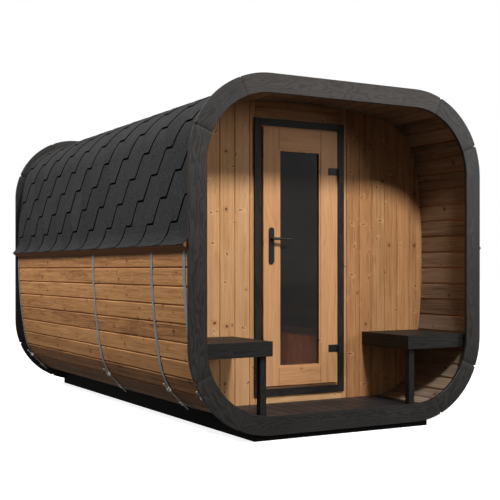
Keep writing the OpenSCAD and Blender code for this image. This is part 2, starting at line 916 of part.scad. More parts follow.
front_trim_boards();
front_trim_corners();
back_trim_boards();
back_trim_corners();
shell_floor();
shell_ceiling();
shell_wall_left();
shell_wall_right();
shell_corner_lower_left();
shell_corner_lower_right();
shell_corner_upper_left();
shell_corner_upper_right();
roof_top();
roof_corners();
roof_skirts();
eave_battens();
front_wall_left();
front_wall_right();
front_wall_over_door();
front_wall_under_door();
back_wall();
surround_posts();
surround_rails();
door_jamb_sides();
door_jamb_ends();
door_stiles();
door_rails();
door_glass();
glazing_beads();
handle_plates();
lever_handle();
hinge_straps();
hinge_posts();
porch_deck();
room_floor();
floor_joists();
bench_seats();
bench_edges();
bench_legs();
room_bench_seat();
room_bench_front();
steel_bands();
band_tensioners();
base_beams();
base_crossbeams();
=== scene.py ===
import math
from bisect import bisect
from random import Random

import bmesh
import bpy
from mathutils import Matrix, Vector


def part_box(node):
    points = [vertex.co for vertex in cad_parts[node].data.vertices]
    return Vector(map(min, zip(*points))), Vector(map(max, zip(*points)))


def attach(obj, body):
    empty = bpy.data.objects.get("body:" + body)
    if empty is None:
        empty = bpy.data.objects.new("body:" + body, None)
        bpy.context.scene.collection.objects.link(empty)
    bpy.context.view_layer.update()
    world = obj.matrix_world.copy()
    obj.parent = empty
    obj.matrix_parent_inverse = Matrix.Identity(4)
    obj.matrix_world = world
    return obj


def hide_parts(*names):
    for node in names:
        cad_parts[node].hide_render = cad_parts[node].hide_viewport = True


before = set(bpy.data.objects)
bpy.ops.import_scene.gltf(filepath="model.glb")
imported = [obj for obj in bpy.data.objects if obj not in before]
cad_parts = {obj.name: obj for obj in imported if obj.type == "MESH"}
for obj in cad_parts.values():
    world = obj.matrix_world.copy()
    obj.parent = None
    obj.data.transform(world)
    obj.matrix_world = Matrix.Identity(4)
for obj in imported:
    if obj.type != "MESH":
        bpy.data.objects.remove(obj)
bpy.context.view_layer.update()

# -------------------------------- sizes, in metres
RING_LOW, RING_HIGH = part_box("front_trim_boards")
BACK_LOW, BACK_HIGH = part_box("back_trim_boards")
FLOOR_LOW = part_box("shell_floor")[0]
ROOM_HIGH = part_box("shell_ceiling")[1]
SIDE_LOW, SIDE_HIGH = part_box("shell_wall_right")
FRONT_WALL_LOW, FRONT_WALL_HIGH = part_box("front_wall_right")
BACK_WALL_LOW, BACK_WALL_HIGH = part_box("back_wall")
Y_FRONT, Y_BACK = SIDE_LOW.y, SIDE_HIGH.y
RING_R = 0.556
RING_FACE = 0.120
RING_CX = RING_HIGH.x - RING_R
RING_Z_LOW, RING_Z_HIGH = RING_LOW.z + RING_R, RING_HIGH.z - RING_R
STAVE = 0.028
TURN_R = 0.407
SIDE_BOW, LEVEL_BOW = 0.054, 0.052
HALF_X = SIDE_HIGH.x
MID_Z = (FLOOR_LOW.z + ROOM_HIGH.z)/2
HALF_Z = (ROOM_HIGH.z - FLOOR_LOW.z)/2
TURN_X = HALF_X - SIDE_BOW - TURN_R
TURN_Z = HALF_Z - LEVEL_BOW - TURN_R
SIDE_R = ((HALF_X - TURN_X)**2 + TURN_Z**2 - TURN_R**2)/2/SIDE_BOW
LEVEL_R = ((HALF_Z - TURN_Z)**2 + TURN_X**2 - TURN_R**2)/2/LEVEL_BOW
SIDE_A = math.atan(TURN_Z/(TURN_X - HALF_X + SIDE_R))
LEVEL_A = math.atan(TURN_X/(TURN_Z - HALF_Z + LEVEL_R))
INNER_X = HALF_X - STAVE
STAVE_COVER = 0.1135
STAVE_JOINT = 1.050
WALL_COVER = 0.1113
WALL_JOINT = 0.387


# -------------------------------- materials
class Nodes:
    """A tree's shader nodes, added one call at a time. A value is a number, a colour or a socket."""

    def __init__(self, tree):
        self.tree = tree

    def put(self, socket, value):
        if isinstance(value, bpy.types.NodeSocket):
            self.tree.links.new(value, socket)
        elif value is not None:
            socket.default_value = value

    def node(self, kind, inputs=None, **props):
        made = self.tree.nodes.new("ShaderNode" + kind)
        for key, value in props.items():
            setattr(made, key, value)
        for key, value in (inputs or {}).items():
            self.put(made.inputs[key], value)
        return made

    def run(self, kind, operation, values):
        return self.node(kind, dict(enumerate(values)), operation=operation).outputs

    def math(self, operation, *values):
        return self.run("Math", operation, values)[0]

    def vmath(self, operation, *values):
        made = self.run("VectorMath", operation, values)
        return made["Value" if operation in ("LENGTH", "DOT_PRODUCT") else "Vector"]

    def product(self, a, b):
        return self.math("MULTIPLY", a, b)

    def scale_add(self, value, factor, more):
        """A value times a factor, plus more."""
        return self.math("MULTIPLY_ADD", value, factor, more)

    def place(self):
        """Place in the object's own frame."""
        return self.node("TexCoord").outputs["Object"]

    def board(self, name):
        """A value kept on the boards' points."""
        return self.node("Attribute", attribute_name=name).outputs["Vector"]

    def noise(self, vector, scale, detail=3.0, rough=0.55):
        inputs = {"Vector": vector, "Scale": scale, "Detail": detail, "Roughness": rough}
        return self.node("TexNoise", inputs).outputs["Fac"]

    def stretched(self, *axes, detail=2.0, rough=0.55):
        """Noise over three values, each given with its own scale."""
        return self.noise(self.join(*(self.product(*axis) for axis in axes)), 1.0, detail, rough)

    def span(self, value, a0, a1, b0=0.0, b1=1.0, kind="SMOOTHSTEP"):
        """A value's range from a0 to a1 taken to the range from b0 to b1."""
        inputs = {"Value": value, "From Min": a0, "From Max": a1, "To Min": b0, "To Max": b1}
        return self.node("MapRange", inputs, interpolation_type=kind).outputs["Result"]

    def hypot(self, a, b):
        return self.math("SQRT", self.math("ADD", self.product(a, a), self.product(b, b)))

    def swing(self, value, by, amount):
        """A value moved down and up by half an amount as another goes from 0 to 1."""
        return self.scale_add(self.math("SUBTRACT", by, 0.5), amount, value)

    def mix(self, factor, a, b, blend="MIX"):
        inputs = {0: factor, 6: a, 7: b}
        return self.node("Mix", inputs, data_type="RGBA", blend_type=blend).outputs[2]

    def ramp(self, factor, stops):
        made = self.node("ValToRGB", {0: factor})
        band = made.color_ramp
        while len(band.elements) < len(stops):
            band.elements.new(0.5)
        for element, (place, colour) in zip(band.elements, stops):
            element.position = place
            element.color = (*colour, 1.0)
        return made.outputs["Color"]

    def split(self, vector):
        return self.node("SeparateXYZ", {"Vector": vector}).outputs

    def join(self, x, y, z):
        return self.node("CombineXYZ", {"X": x, "Y": y, "Z": z}).outputs[0]


class Shader(Nodes):
    """A new material's nodes, round its Principled shader."""

    def __init__(self, name, rough, **sockets):
        self.mat = bpy.data.materials.new(name)
        self.mat.use_nodes = True
        super().__init__(self.mat.node_tree)
        self.bsdf = self.tree.nodes["Principled BSDF"]
        self.bsdf.inputs["Roughness"].default_value = rough
        for key, value in sockets.items():
            self.bsdf.inputs[key.replace("_", " ")].default_value = value

    def bump(self, height, distance, strength):
        made = self.node("Bump", {"Height": height, "Distance": distance, "Strength": strength})
        self.put(self.bsdf.inputs["Normal"], made.outputs[0])

    def finish(self, colour, rough=None):
        self.put(self.bsdf.inputs["Base Color"], colour)
        self.put(self.bsdf.inputs["Roughness"], rough)
        return self.mat


def rgb(r, g, b):
    """Linear colour of an 8-bit display colour."""
    return tuple(((c / 255 + 0.055) / 1.055) ** 2.4 if c > 10 else c / 255 / 12.92 for c in (r, g, b))


def times(colour, factor):
    """Colour darkened by a factor, with its alpha."""
    return (*(c*factor for c in colour), 1.0)


def grain_of(s, source, along="Y"):
    """(place in the board's own grain, the board's random triple). Boards built here carry both; a solid of
    the frame takes its grain from its place, along a given axis."""
    if source == "board":
        return s.board("grain"), s.board("tone")
    place = s.split(s.place())
    order = {"X": (0, 2, 1), "Y": (1, 0, 2), "Z": (2, 0, 1)}[along]
    pith = (0.0, 0.031, 0.057)
    return s.vmath("ADD", s.join(*(place[i] for i in order)), pith), s.join(0.5, 0.5, 0.5)


def wood(name, colours, source="board", along="Y", knots=0.35, spikes=0.3, rough=0.62, contrast=1.0,
         tint=None, moods=0.4, ends=None):
    """Sawn softwood: streaks, fibres, faint growth rings round a pith under each board, round knots and
    spike knots that run across the board. The colours are the light, middle and dark wood and the knots."""
    s = Shader(name, rough, Specular_IOR_Level=0.22)
    light, mid, dark, knot = (rgb(*colour) for colour in colours)
    grain, tone = grain_of(s, source, along)
    gx, gy, gz = s.split(grain)
    t1, t2, t3 = s.split(tone)
    # one knot at most in each cell of the face
    long, wide = 0.19, 0.075
    flat = s.join(s.math("DIVIDE", gx, long), s.math("DIVIDE", gy, wide), 0.0)
    cells = {"Vector": flat, "Scale": 1.0, "Randomness": 0.9}
    spots = s.node("TexVoronoi", cells, voronoi_dimensions="2D")
    off = s.split(s.vmath("SUBTRACT", flat, spots.outputs["Position"]))
    chance = s.split(spots.outputs["Color"])
    wave = s.math("SUBTRACT", s.stretched((gx, 60.0), (gy, 60.0), (t1, 1.0)), 0.5)
    dx = s.scale_add(wave, 0.006, s.product(off[0], long))
    dy = s.product(off[1], wide)
    # round knots in darker wood
    far = s.hypot(dx, dy)
    size = s.scale_add(s.math("POWER", chance[1], 2.0), 0.0070, 0.0045)
    there = s.math("LESS_THAN", chance[0], knots)
    core = s.product(there, s.span(far, s.product(size, 0.7), size, 1.0, 0.0))
    halo = s.product(there, s.span(far, size, s.scale_add(size, 2.0, 0.012), 1.0, 0.0))
    # leaning spike knots in paler wood
    lean = s.scale_add(chance[1], 2.2, 0.45)
    slope_x, slope_y = s.math("COSINE", lean), s.math("SINE", lean)
    reach = s.scale_add(chance[2], 0.011, 0.010)
    bend = s.product(wave, 0.012)
    run = s.scale_add(dx, slope_x, s.scale_add(dy, slope_y, bend))
    run = s.math("DIVIDE", run, reach)
    side = s.math("SUBTRACT", s.product(dy, slope_x), s.scale_add(dx, slope_y, bend))
    spike = s.hypot(run, s.math("DIVIDE", side, s.scale_add(run, 0.0018, 0.0050)))
    there = s.math("GREATER_THAN", chance[0], 1.0 - spikes)
    line = s.product(there, s.span(spike, 0.3, 1.15, 1.0, 0.0))
    glow = s.product(s.span(spike, 0.8, 1.3), s.span(spike, 1.4, 3.4, 1.0, 0.0))
    glow = s.product(there, glow)
    # faint rings
    slow = s.stretched((gx, 1.1), (gy, 5.0), (t2, 1.0))
    fine = s.stretched((gx, 5.0), (gy, 30.0), (gz, 30.0))
    lift = s.scale_add(slow, 0.050, s.product(halo, 0.010))
    lift = s.scale_add(fine, 0.0030, s.scale_add(glow, 0.006, lift))
    ring_width = 0.0058
    saw = s.math("FRACT", s.math("DIVIDE", s.math("ADD", s.hypot(gy, gz), lift), ring_width))
    late = s.product(s.span(saw, 0.3, 0.85), s.span(saw, 0.88, 1.0, 1.0, 0.0))
    # streaks and fibres
    depth = s.scale_add(t3, 9.0, gz)
    streak = s.stretched((gx, 0.8), (gy, 30.0), (depth, 1.0), detail=4.0, rough=0.6)
    hair = s.stretched((gx, 3.0), (gy, 150.0), (gz, 150.0), detail=3.0)
    fibre = s.stretched((gx, 9.0), (gy, 420.0), (gz, 420.0))
    blotch = s.stretched((gx, 3.2), (gy, 11.0), (t1, 1.0), detail=3.0)
    value = 0.56
    for part, share in ((streak, 0.90), (hair, 0.90), (fibre, 0.30), (blotch, 0.45)):
        value = s.swing(value, part, share*contrast)
    value = s.scale_add(late, -0.16*contrast, value)
    value = s.math("ADD", value, s.scale_add(t1, moods, -moods/2))
    value = s.scale_add(halo, -0.16, s.scale_add(glow, 0.20, value))
    colour = s.ramp(value, ((0.0, dark), (0.5, mid), (1.0, light)))
    if tint:
        tinted = s.mix(1.0, colour, (*tint, 1.0), "MULTIPLY")
        colour = s.mix(s.span(t2, 0.45, 1.0, 0.0, 0.8), colour, tinted)
    rim = s.product(core, s.span(far, s.product(size, 0.40), size))
    for part, share, factor in ((core, 0.85, 1.0), (rim, 0.50, 0.3), (line, 0.85, 0.75)):
        colour = s.mix(s.product(part, share), colour, times(knot, factor))
    if ends:
        # painted shadow line where the board's ends meet the next one
        out = s.math("ABSOLUTE", s.math("SUBTRACT", gx, sum(ends)/2))
        half = (ends[1] - ends[0])/2
        joint = s.span(out, half - 0.0042, half - 0.0024, 0.0, 0.72)
        colour = s.mix(joint, colour, times(knot, 0.2))
    s.bump(s.scale_add(late, 0.5, s.product(hair, 0.5)), 0.0004, 0.7)
    shine = s.scale_add(late, -0.10, s.scale_add(fibre, 0.14, rough - 0.04))
    return s.finish(colour, shine)


MATS = {}
MATS["staves"] = wood("stave wood", ((230, 172, 114), (198, 140, 88), (116, 70, 38), (60, 24, 14)),
                      tint=(0.90, 0.88, 0.86), contrast=1.15, knots=0.34, spikes=0.25)
# a darker, duller copy of the stave wood for the faces that the porch and the room see: painted shade
MATS["inner"] = wood("stave wood with painted shade", ((182, 160, 136), (146, 126, 107), (84, 69, 56), (60, 32, 20)),
                     tint=(0.95, 0.9, 0.84), knots=0.30, spikes=0.2)
MATS["wall"] = wood("wall wood", ((240, 194, 142), (216, 160, 108), (150, 100, 64), (92, 48, 28)),
                    tint=(0.95, 0.84, 0.76), contrast=0.85, knots=0.12, spikes=0.42, moods=0.75)
DOOR = dict(colours=((244, 190, 140), (227, 167, 115), (178, 114, 74), (120, 68, 42)), source="frame",
            knots=0.05, spikes=0.04, rough=0.52, contrast=0.7)
RAIL_X = [v.co.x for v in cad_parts["door_rails"].data.vertices]
for axis in "XZ":
    MATS["door_" + axis] = wood("door wood along " + axis.lower(), along=axis, **DOOR)
# the rail ends get a painted shadow line where they meet the stiles
MATS["door_rail"] = wood("door rail wood", along="X", ends=(min(RAIL_X), max(RAIL_X)), **DOOR)
MATS["room"] = wood("room wood", ((190, 128, 84), (165, 102, 62), (110, 62, 36), (70, 34, 20)))
# a darker copy of the room wood for the bench seat and the front's top strip: painted shade
MATS["room_painted_shade"] = wood("room wood with painted shade", ((92, 66, 50), (70, 50, 38), (44, 32, 26), (36, 22, 16)),
                         contrast=0.8)
# a darker copy of the stave wood for the battens under the eave: painted shade
MATS["batten"] = wood("batten wood with painted shade", ((186, 134, 86), (160, 110, 66), (112, 72, 40), (90, 50, 28)),
                      source="frame", knots=0.1, spikes=0.1, contrast=0.8)


def stained(name, light, dark, source="board", along="Y", rough=0.5, ring=0.0075, spec=0.35):
    """Wood under a thin dark stain: the rings and the fibres still show."""
    s = Shader(name, rough, Specular_IOR_Level=spec)
    grain, tone = grain_of(s, source, along)
    gx, gy, gz = s.split(grain)
    t1, t2 = s.split(tone)[0:2]
    slow = s.stretched((gx, 2.3), (gy, 9.0), (t2, 1.0), detail=3.0)
    saw = s.math("FRACT", s.math("DIVIDE", s.scale_add(slow, 0.085, s.hypot(gy, gz)), ring))
    late = s.product(s.span(saw, 0.25, 0.8), s.span(saw, 0.9, 1.0, 1.0, 0.0))
    fibre = s.stretched((gx, 7.0), (gy, 330.0), (gz, 330.0), detail=3.0)
    patch = s.noise(grain, 3.0, 4.0)
    value = s.scale_add(late, -0.48, 0.60)
    for part, share in ((fibre, 0.75), (patch, 0.7), (t1, 0.35)):
        value = s.swing(value, part, share)
    s.bump(s.scale_add(late, -0.6, s.product(fibre, 0.6)), 0.0005, 0.8)
    colour = s.ramp(value, ((0.0, dark), (1.0, light)))
    return s.finish(colour, s.scale_add(fibre, 0.16, rough - 0.08))


BLACK = dict(light=rgb(66, 60, 56), dark=rgb(27, 25, 23))
MATS["stain"] = stained("black stain", **BLACK)
MATS["stain_X"] = stained("black stain along x", source="frame", along="X", **BLACK)
MATS["paint"] = stained("matt black stain", light=rgb(52, 50, 48), dark=rgb(23, 22, 21), rough=0.55,
                        ring=0.011, spec=0.22)
MATS["deck"] = stained("deck stain", light=rgb(62, 60, 61), dark=rgb(29, 28, 29))
MATS["base"] = stained("base stain", light=rgb(40, 38, 36), dark=rgb(16, 15, 14), source="frame", rough=0.7,
                       spec=0.08)


def granules():
    """Mineral granules on bitumen."""
    s = Shader("shingle granules", 0.85, Specular_IOR_Level=0.25)
    place = s.place()
    grit = s.node("TexVoronoi", {"Vector": place, "Scale": 620.0})
    chip = s.split(grit.outputs["Color"])[0]
    cloud = s.noise(place, 7.0, 5.0, 0.6)
    tone = s.split(s.board("tone"))[0]
    speck = s.noise(place, 95.0, 2.0)
    value = s.scale_add(chip, 0.42, s.scale_add(cloud, 0.6, -0.10))
    value = s.swing(s.scale_add(tone, 0.22, value), speck, 2.6)
    s.bump(s.scale_add(speck, 0.5, grit.outputs["Distance"]), 0.0012, 0.6)
    return s.finish(s.ramp(value, ((0.0, rgb(19, 19, 19)), (1.0, rgb(60, 60, 60)))))


def bitumen():
    """Cut edge of a shingle, near black; on the tabs' wide bevels it is the cut edge and painted shadow
    under the tab.
    """
    s = Shader("cut bitumen edge and painted shadow", 0.8, Specular_IOR_Level=0.0)
    lump = s.noise(s.place(), 240.0)
    s.bump(lump, 0.0006, 0.5)
    return s.finish(s.ramp(lump, ((0.3, rgb(2, 2, 2)), (0.8, rgb(7, 7, 7)))))


def zinc(name, dark, light):
    """Zinc coat with its flakes."""
    s = Shader(name, 0.5, Metallic=0.3)
    place = s.place()
    flake = s.node("TexVoronoi", {"Vector": place, "Scale": 130.0})
    cloud = s.noise(place, 22.0, 4.0)
    value = s.scale_add(s.split(flake.outputs["Color"])[0], 0.35, s.product(cloud, 0.7))
    s.bump(cloud, 0.0003, 0.3)
    return s.finish(s.ramp(value, ((0.15, dark), (0.8, light))), s.scale_add(cloud, 0.22, 0.40))


def powder(name, spec, rough):
    """Black coat with a fine orange peel."""
    s = Shader(name, rough, Specular_IOR_Level=spec)
    place = s.place()
    worn = s.noise(place, 60.0)
    s.bump(s.noise(place, 900.0, 2.0), 0.00015, 0.4)
    colour = s.ramp(worn, ((0.3, rgb(26, 27, 28)), (0.75, rgb(38, 39, 40))))
    return s.finish(colour, s.scale_add(worn, 0.12, rough))


def tinted_glass():
    """Dark glass that lets a little of the room through."""
    s = Shader("tinted glass", 0.05, IOR=1.5, Alpha=0.72)
    cloud = s.noise(s.place(), 3.0, 2.0)
    return s.finish(s.ramp(cloud, ((0.2, rgb(41, 38, 36)), (0.9, rgb(50, 47, 44)))))


MATS["shingle"] = granules()
MATS["edge"] = bitumen()
MATS["zinc"] = zinc("zinc coated steel", rgb(122, 132, 138), rgb(172, 184, 190))
# a copy of the zinc painted much lighter, for the small hardware that sits in shade at the lower corners:
# painted light
MATS["bright"] = zinc("bright zinc coated steel", rgb(212, 210, 206), rgb(248, 247, 244))
MATS["powder"] = powder("black powder coat", 0.22, 0.44)
MATS["satin"] = powder("satin black steel", 1.0, 0.18)
MATS["glass"] = tinted_glass()


# -------------------------------- mesh building
class Stock:
    """Boards gathered into one mesh. Each keeps its own place in its grain and its own tone, random unless a
    board's first value is set as painted light.
    """

    def __init__(self, seed):
        self.rand = Random(seed)
        self.verts, self.faces, self.grain, self.tone, self.kinds = [], [], [], [], []

    def new_board(self):
        r = self.rand
        self.shift = Vector((r.uniform(0, 60), r.uniform(-0.03, 0.03), r.uniform(0.035, 0.11)))
        self.mood = (r.random(), r.random(), r.random())

    def add(self, points, faces, kinds=None):
        """Faces over points, each point a pair of its place and its place in the grain."""
        base = len(self.verts)
        self.verts += [tuple(v) for v, _ in points]
        self.grain += [tuple(Vector(g) + self.shift) for _, g in points]
        self.tone += [self.mood]*len(points)
        self.faces += [tuple(base + i for i in f) for f in faces]
        self.kinds += kinds or [0]*len(faces)

    def loft(self, rows):
        """Closed skin over rows of points, each row one section of the board."""
        n = len(rows[0])
        faces = []
        for i in range(len(rows) - 1):
            for j in range(n):
                k = (j + 1) % n
                faces.append((i*n + j, i*n + k, (i + 1)*n + k, (i + 1)*n + j))
        faces.append(tuple(reversed(range(n))))
        faces.append(tuple((len(rows) - 1)*n + j for j in range(n)))
        self.add([point for row in rows for point in row], faces)

    def build(self, name, looks, slot, replaces, body="cabin", smooth=None):
        mesh = bpy.data.meshes.new(name)
        mesh.from_pydata(self.verts, [], self.faces)
        mesh.polygons.foreach_set("material_index", self.kinds)
        for key, values in (("grain", self.grain), ("tone", self.tone)):
            layer = mesh.attributes.new(key, "FLOAT_VECTOR", "POINT")
            layer.data.foreach_set("vector", [c for v in values for c in v])
        for key in looks:
            mesh.materials.append(MATS[key])
        piece = new_object(name, mesh)
        change(mesh, lambda work: bmesh.ops.recalc_face_normals(work, faces=work.faces))
        if smooth:
            mesh.shade_smooth()
            mesh.set_sharp_from_angle(angle=math.radians(smooth))
        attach(piece, body)
        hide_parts(*replaces)
        return piece


def new_object(name, data):
    """Object that shows a mesh, a lamp or a camera in the scene."""
    made = bpy.data.objects.new(name, data)
    bpy.context.scene.collection.objects.link(made)
    return made


def change(mesh, step):
    """Run one bmesh step on a mesh."""
    work = bmesh.new()
    work.from_mesh(mesh)
    step(work)
    work.to_mesh(mesh)
    work.free()


def plank(stock, low, high, along, bevel, depth=None):
    """Board between two corners, its long edges and ends eased. along is the grain's axis, depth the axis
    of its thickness."""
    size = [h - l for l, h in zip(low, high)]
    if depth is None:
        depth = min((a for a in range(3) if a != along), key=lambda a: size[a])
    across = 3 - along - depth
    stock.new_board()
    mid = [(l + h)/2 for l, h in zip(low, high)]
    half = [s/2 for s in size]
    b = bevel
    rows = []
    for end, ease in ((-half[along], b), (-half[along] + b, 0), (half[along] - b, 0), (half[along], b)):
        row = []
        ha, hd = half[across] - ease, half[depth] - ease
        for a, d in ((-ha + b, -hd), (ha - b, -hd), (ha, -hd + b), (ha, hd - b),
                     (ha - b, hd), (-ha + b, hd), (-ha, hd - b), (-ha, -hd + b)):
            p = [0, 0, 0]
            p[along], p[across], p[depth] = mid[along] + end, mid[across] + a, mid[depth] + d
            row.append((p, (end, a, d - half[depth])))
        rows.append(row)
    stock.loft(rows)


# -------------------------------- staves
ARCS = [(LEVEL_A, LEVEL_R, (0.0, MID_Z - HALF_Z + LEVEL_R)),
        (math.pi/2 - SIDE_A - LEVEL_A, TURN_R, (-TURN_X, MID_Z - TURN_Z)),
        (2*SIDE_A, SIDE_R, (SIDE_R - HALF_X, MID_Z)),
        (math.pi/2 - SIDE_A - LEVEL_A, TURN_R, (-TURN_X, MID_Z + TURN_Z)),
        (LEVEL_A, LEVEL_R, (0.0, MID_Z + HALF_Z - LEVEL_R))]
HALF_GIRTH = sum(turn*r for turn, r, _ in ARCS)


def section(s):
    """Point of the staves' outer face and its outward normal at a walk s round the cabin, from the middle
    of the floor up the left side."""
    s %= 2*HALF_GIRTH
    mirror = s > HALF_GIRTH
    if mirror:
        s = 2*HALF_GIRTH - s
    start = 0.0
    for turn, r, (x, z) in ARCS:
        if s <= turn*r + 1e-9 or (turn, r, (x, z)) == ARCS[-1]:
            break
        s -= turn*r
        start += turn
    a = start + s/r
    sign = -1 if mirror else 1
    normal = Vector((-sign*math.sin(a), 0, -math.cos(a)))
    return Vector((sign*x, 0, z)) + normal*r, normal


def side_walk(z):
    """Walk at which the bowed side is at a height."""
    before = sum(turn*r for turn, r, _ in ARCS[:2])
    return before + SIDE_R*(SIDE_A + math.asin((z - MID_Z)/SIDE_R))


def stave_joints():
    """Walks at which two staves meet, the same on both sides of the cabin."""
    start = side_walk(STAVE_JOINT)
    left = [start + i*STAVE_COVER for i in range(-40, 40)]
    left = [s for s in left if 0.02 < s < HALF_GIRTH - 0.02]
    return sorted(left + [2*HALF_GIRTH - s for s in left])


def staves():
    """Staves all round the cabin, each tongued into the next."""
    stock = Stock(11)
    joints = stave_joints()
    joints.append(joints[0] + 2*HALF_GIRTH)
    # a joint from the outer face to the inner one as (depth, inset): V, slit, tongue, wider slit and V
    v, deep, slit, wide = 0.0086, 0.0062, 0.0019, 0.0034
    step_in, step_out = 0.011, 0.016
    joint = [(0, v), (deep, slit), (step_in, slit), (step_in, 0), (step_out, 0), (step_out, wide),
             (STAVE - deep, wide), (STAVE, v)]
    shape = [(0, *joint[0])] + [(1, *item) for item in joint] + [(0, *item) for item in joint[:0:-1]]
    for s0, s1 in zip(joints, joints[1:]):
        stock.new_board()
        edges = section(s0), section(s1)
        start = edges[0][0]
        across = edges[1][0] - start
        half = across.length/2
        across.normalize()
        ring = []
        for which, depth, inset in shape:
            p, n = edges[which]
            p = p - n*depth + across*(-inset if which else inset)
            ring.append((p.x, p.z, (p - start).dot(across) - half, -depth))
        stock.loft([[((x, y, z), (y, a, d)) for x, z, a, d in ring] for y in (Y_FRONT, Y_BACK)])
        # the five faces from one wider slit over the inner face to the other take a darker, duller copy of
        # the stave wood: painted shade
        first = len(stock.kinds) - len(ring) - 2
        stock.kinds[first + 6:first + 11] = [1]*5
    stock.build("wall_and_ceiling_staves", ["staves", "inner"], "stave_wood", (
        "shell_floor", "shell_ceiling", "shell_wall_left", "shell_wall_right",
        "shell_corner_lower_left", "shell_corner_lower_right", "shell_corner_upper_left",
        "shell_corner_upper_right"))


# -------------------------------- end walls
def inner_z(x, upper):
    """Height of the staves' inner face over or under a place across the cabin."""
    x = abs(x)
    corner = TURN_R - STAVE
    if x < TURN_X + corner*math.sin(LEVEL_A):
        rise = HALF_Z - LEVEL_R + math.sqrt((LEVEL_R - STAVE)**2 - x**2)
    elif x < TURN_X + corner*math.cos(SIDE_A):
        rise = TURN_Z + math.sqrt(corner**2 - (x - TURN_X)**2)
    else:
        rise = math.sqrt(max((SIDE_R - STAVE)**2 - (x - HALF_X + SIDE_R)**2, 0))
    return MID_Z + rise if upper else MID_Z - rise


def inner_x(z):
    """Distance from the cabin's middle plane to the staves' inner face at a height."""
    z = abs(z - MID_Z)
    corner = TURN_R - STAVE
    if z < TURN_Z + corner*math.sin(SIDE_A):
        return HALF_X - SIDE_R + math.sqrt((SIDE_R - STAVE)**2 - z**2)
    return TURN_X + math.sqrt(max(corner**2 - (z - TURN_Z)**2, 0))


V, SLIT = 0.0042, 0.0007
TONGUE_NEAR, TONGUE_FAR = 0.014, 0.022


def wall_board(stock, x0, x1, y0, y1, open_right=True, painted_light=None):
    """Upright matched board from x0 to x1, from the staves' inner face below to the one above."""
    stock.new_board()
    if painted_light is not None:
        # painted_light sets the board's lightness: painted light and shade
        stock.mood = (painted_light + stock.mood[0]*0.25, *stock.mood[1:])
    cols = [x0 + SLIT, x0 + V] + [x0 + (x1 - x0)*t for t in (0.25, 0.5, 0.75)] + [x1 - V, x1 - SLIT]
    if max(abs(x0), abs(x1)) > TURN_X:
        sign = 1 if x0 + x1 > 0 else -1
        more = [sign*inner_x(MID_Z + HALF_Z*t/24) for t in range(1, 24)]
        cols = sorted(cols + [x for x in more if cols[1] + 0.001 < x < cols[-2] - 0.001])
    rows = []
    for x in cols:
        low, high = inner_z(x, False), inner_z(x, True)
        if high - low < 0.002:
            middle = (high + low)/2
            low, high = middle - 0.001, middle + 0.001
        dip = V if x in (cols[0], cols[-1]) else 0
        shape = [(y0 + dip, low), (y0 + dip, high), (y1 - dip, high), (y1 - dip, low)]
        rows.append([((x, y, z), (z, x - (x0 + x1)/2, y0 - y)) for y, z in shape])
    stock.loft(rows)
    # tongue that closes the slit
    if open_right and x1 < INNER_X - 0.01:
        left, right = x1 - SLIT - 0.0003, x1 + SLIT
        near, far = y0 + TONGUE_NEAR, y0 + TONGUE_FAR
        tongue = [(left, near), (right, near), (right, far), (left, far)]
        ends = [(inner_z(x1, False), 0.001), (inner_z(x1, True), -0.001)]
        stock.loft([[((x, y, z + inset), (z, 0, -0.01)) for x, y in tongue] for z, inset in ends])


def level_board(stock, x0, x1, y0, y1, z0=None, z1=None):
    """Level matched board between two heights. Where one is left out it runs to the staves' inner face."""
    stock.new_board()
    rows = []
    mid = ((z0 or z1) + (z1 or z0))/2
    for i in range(9):
        x = x0 + (x1 - x0)*i/8
        low = inner_z(x, False) if z0 is None else z0
        high = inner_z(x, True) if z1 is None else z1
        shape = [(y0 + V, low + SLIT), (y0, low + V), (y0, high - V), (y0 + V, high - SLIT),
                 (y1 - V, high - SLIT), (y1, high - V), (y1, low + V), (y1 - V, low + SLIT)]
        rows.append([((x, y, z), (x, z - mid, y0 - y)) for y, z in shape])
    stock.loft(rows)


def end_walls():
    """The front wall round the door, its boards paler beside and left of it as painted light, and the plain
    back wall.
    """
    y0, y1 = FRONT_WALL_LOW.y, FRONT_WALL_HIGH.y
    door_x = FRONT_WALL_LOW.x
    over_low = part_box("front_wall_over_door")[0].z
    under_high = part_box("front_wall_under_door")[1].z
    seams = [WALL_JOINT + i*WALL_COVER for i in range(-20, 12)]
    seams = [x for x in seams if abs(x) < INNER_X - 0.02]
    stock = Stock(23)
    right = [door_x] + [x for x in seams if x > door_x + 0.02] + [INNER_X]
    left = [-INNER_X] + [x for x in seams if x < -door_x - 0.02] + [-door_x]
    for edges in (left, right):
        for x0, x1 in zip(edges, edges[1:]):
            # boards up to just right of the door are painted paler, as painted light where the fill lamp
            # reaches them; those further right are painted darker, as painted shade
            painted_light = 0.55 if x1 < door_x + 0.12 else 0.2
            wall_board(stock, x0, x1, y0, y1, open_right=x1 != edges[-1], painted_light=painted_light)
    mid = inner_z(0, True) - 0.046
    for z0, z1 in ((over_low, mid), (mid, None), (None, under_high)):
        level_board(stock, -door_x, door_x, y0, y1, z0, z1)
    stock.build("front_wall_boards", ["wall"], "wall_wood", (
        "front_wall_left", "front_wall_right", "front_wall_over_door", "front_wall_under_door"))
    stock = Stock(29)
    edges = [-INNER_X] + seams + [INNER_X]
    for x0, x1 in zip(edges, edges[1:]):
        wall_board(stock, x0, x1, BACK_WALL_LOW.y, BACK_WALL_HIGH.y)
    stock.build("back_wall_boards", ["wall"], "wall_wood", ("back_wall",))


